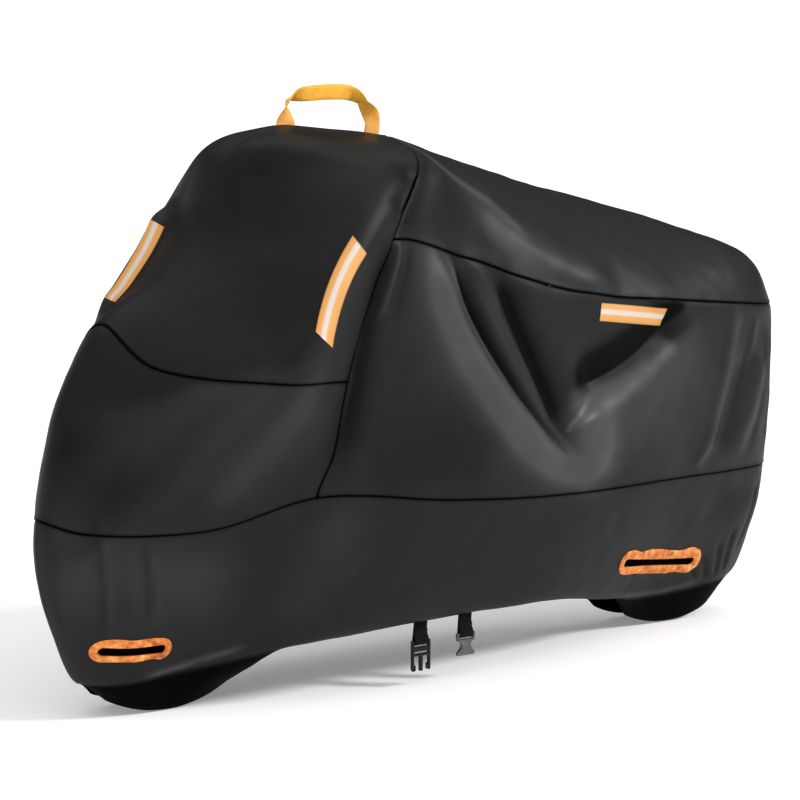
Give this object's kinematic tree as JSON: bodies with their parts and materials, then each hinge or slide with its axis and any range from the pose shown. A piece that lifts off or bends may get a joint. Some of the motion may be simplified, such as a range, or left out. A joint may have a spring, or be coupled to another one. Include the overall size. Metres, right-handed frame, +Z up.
{
  "type": "motorcycle cover",
  "caption": "Fitted motorcycle cover of coated cloth as it hangs over the vehicle, with reflective strips, bound slots at both ends, a top handle and a belly strap.",
  "frame": {"origin": "middle of the cover's box in X and Y, at its lowest point", "axes": "+X forward, +Y to the vehicle's left side, +Z up"},
  "size_m": [2.0758, 0.8464, 1.3584],
  "materials": {
    "cloth": "coated, dull sheen",
    "reflective_tape": "orange edges with a silver reflective middle",
    "orange_binding": "ribbed binding, crumpled",
    "amber_webbing": "woven webbing",
    "black_webbing": "woven webbing",
    "black_plastic": "moulded, satin",
    "grey_plastic": "moulded, satin"
  },
  "bodies": {
    "root": {"panel_windscreen": "cloth", "panel_front_lower": "cloth", "panel_saddle": "cloth", "panel_side_left": "cloth", "panel_side_right": "cloth", "skirt_left": "cloth", "skirt_right": "cloth", "strip_front_left": "reflective_tape", "strip_front_right": "reflective_tape", "strip_side_left": "reflective_tape", "strip_side_right": "reflective_tape", "slot_binding_front_left": "orange_binding", "slot_binding_front_right": "orange_binding", "slot_binding_rear_left": "orange_binding", "slot_binding_rear_right": "orange_binding", "handle": "amber_webbing", "strap_front": "black_webbing", "strap_rear": "black_webbing", "buckle_plug": "black_plastic", "buckle_socket": "grey_plastic"}
  },
  "joints": []
}
